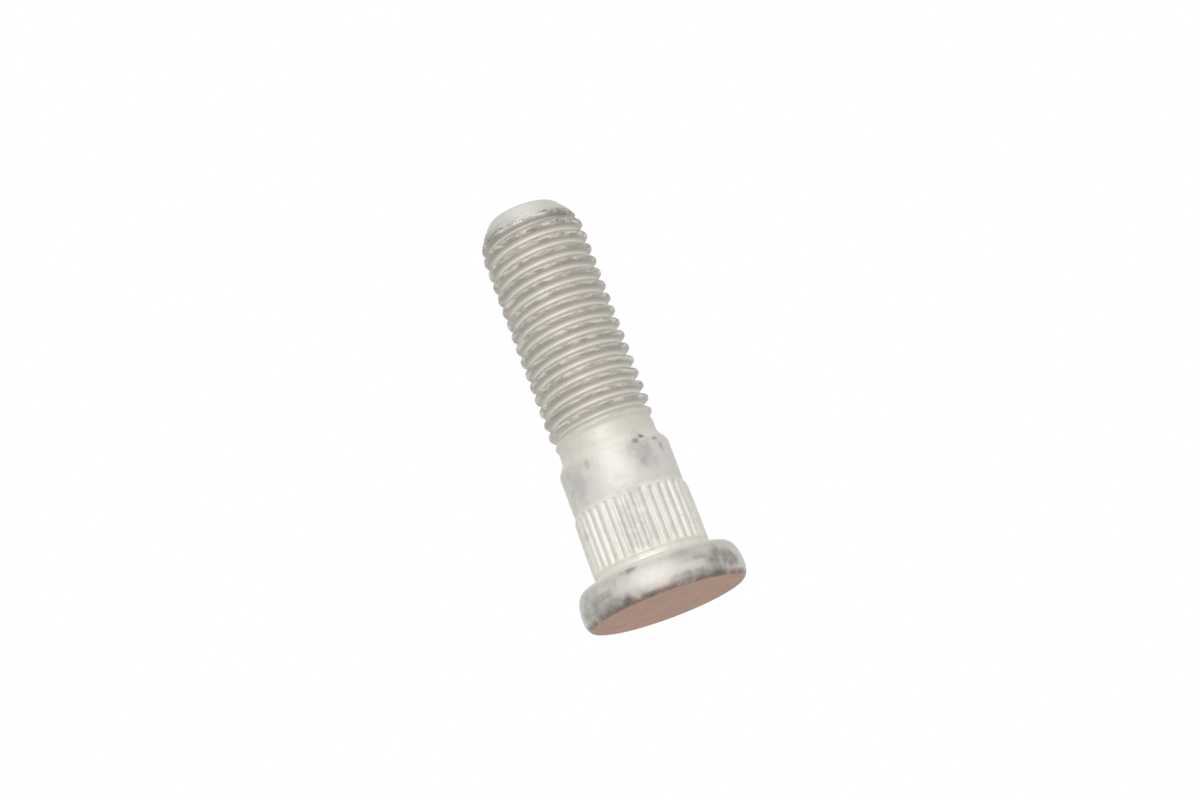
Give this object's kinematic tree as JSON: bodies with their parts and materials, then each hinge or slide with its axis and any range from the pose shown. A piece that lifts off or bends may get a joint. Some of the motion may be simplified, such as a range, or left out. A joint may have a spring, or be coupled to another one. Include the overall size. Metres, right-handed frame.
{
  "type": "hub bolt",
  "caption": "Press-in wheel hub bolt: round head with a flat seat, serrated seat, plain shoulder, waisted neck and a right-hand threaded shank with a chamfered end.",
  "frame": {"origin": "centre of the head's flat outer face, on which the bolt stands", "axes": "+Z along the bolt's axis from the head to the threaded end; X and Y are square to it, and -Y is the side the picture shows"},
  "size_m": [0.0184, 0.0184, 0.0465],
  "materials": {
    "coated_steel": "dull silver-grey zinc flake coating, with grey scuffs and a browner head face"
  },
  "bodies": {
    "root": {"hub_bolt": "coated_steel"}
  },
  "joints": []
}
